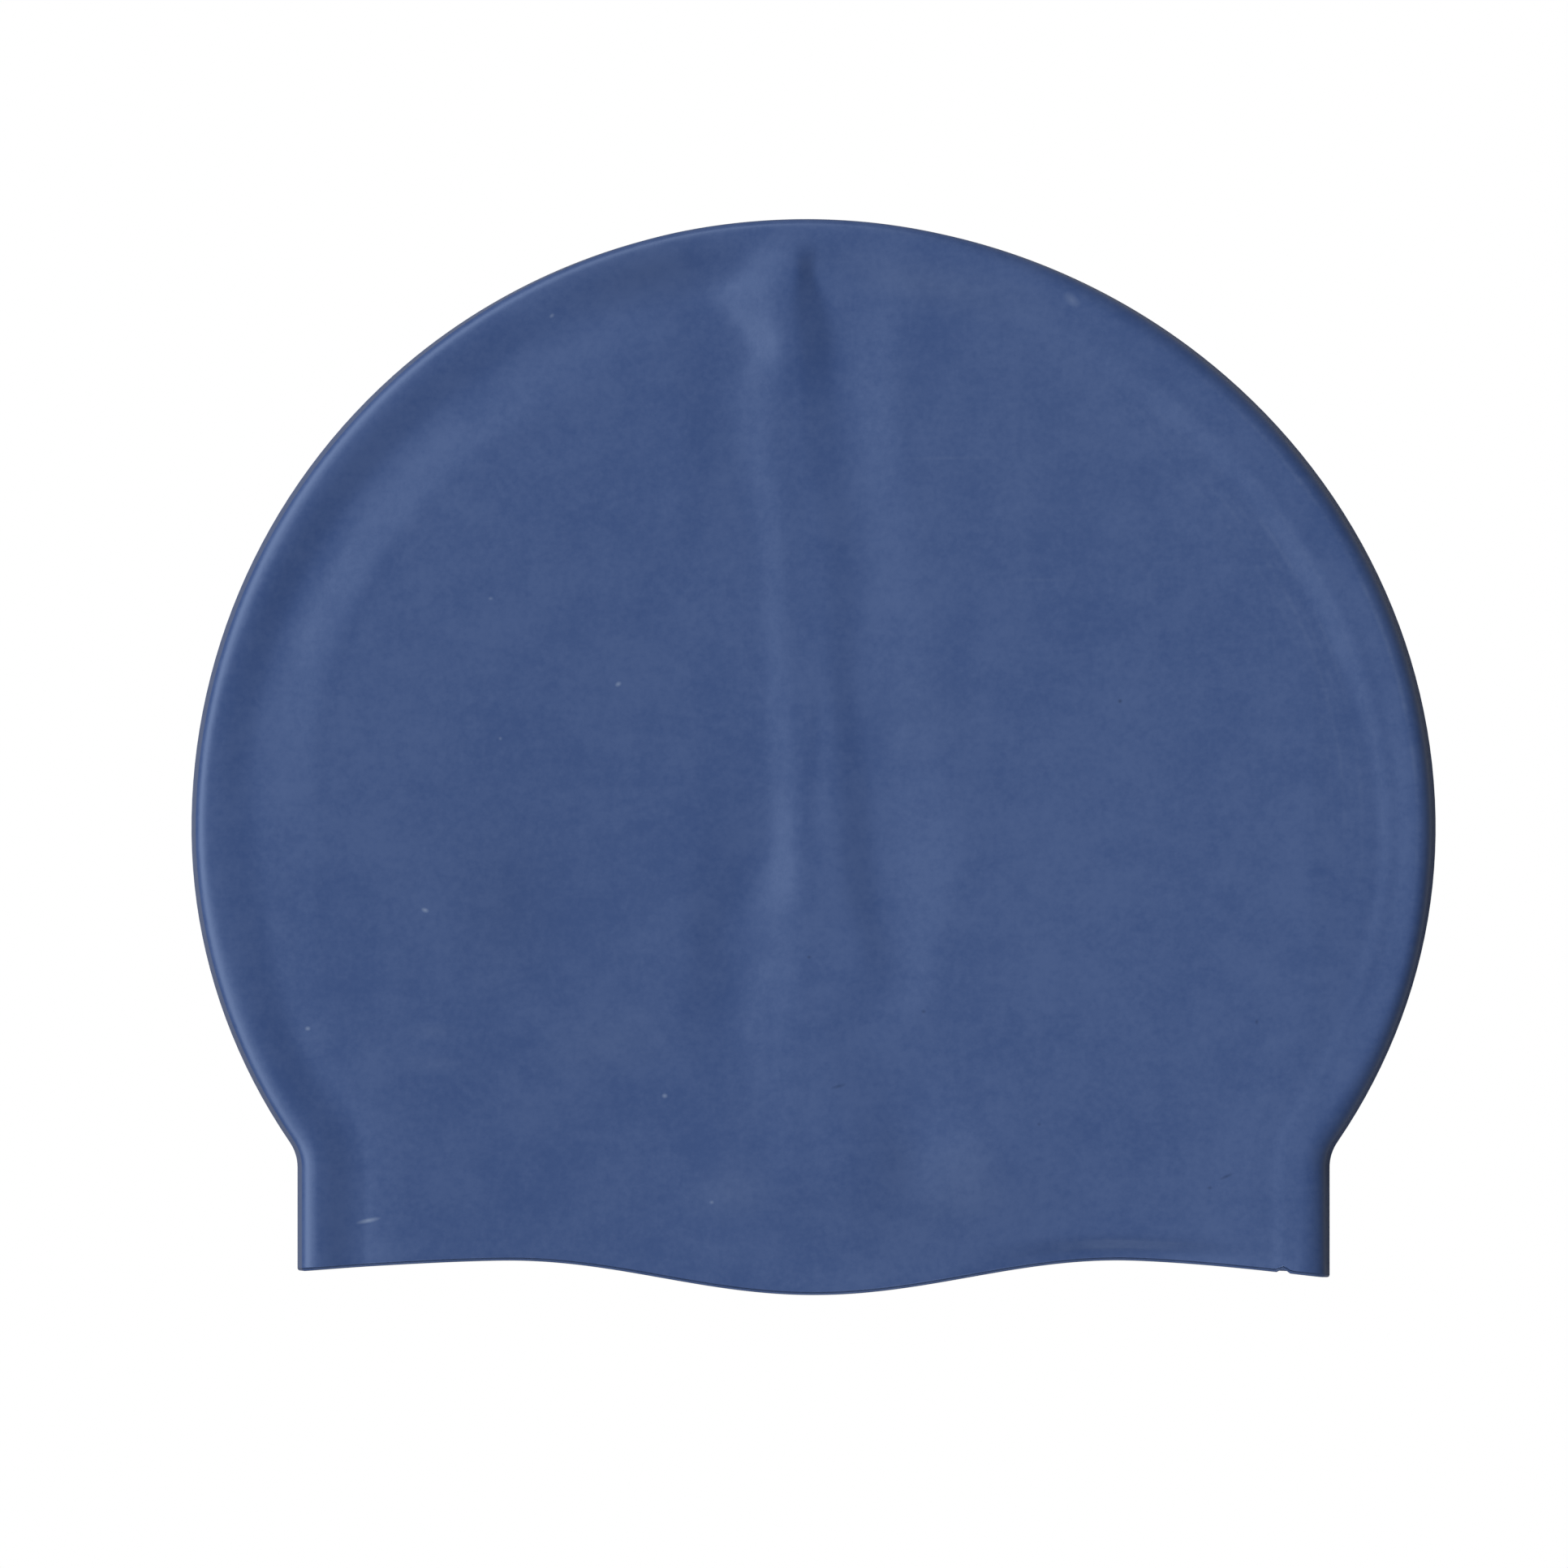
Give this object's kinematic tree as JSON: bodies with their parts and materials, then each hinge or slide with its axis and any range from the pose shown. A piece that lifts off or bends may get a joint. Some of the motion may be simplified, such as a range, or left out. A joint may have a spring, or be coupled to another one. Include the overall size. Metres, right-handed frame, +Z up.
{
  "type": "silicone swim cap",
  "caption": "Thin moulded swim cap lying flat: a round hollow crown with a rolled rim, a short straight neck and a waved lip with a lobe over the ear.",
  "frame": {"origin": "on the surface that the cap lies on, at the middle of its outline", "axes": "+X along the cap's width from the forehead corner of the lip to its nape corner, +Y from the lip to the top of the crown, +Z up out of the upper face"},
  "size_m": [0.22, 0.1896, 0.009],
  "materials": {
    "silicone": "matte, plain slate blue"
  },
  "bodies": {
    "root": {"cap_shell": "silicone"}
  },
  "joints": []
}
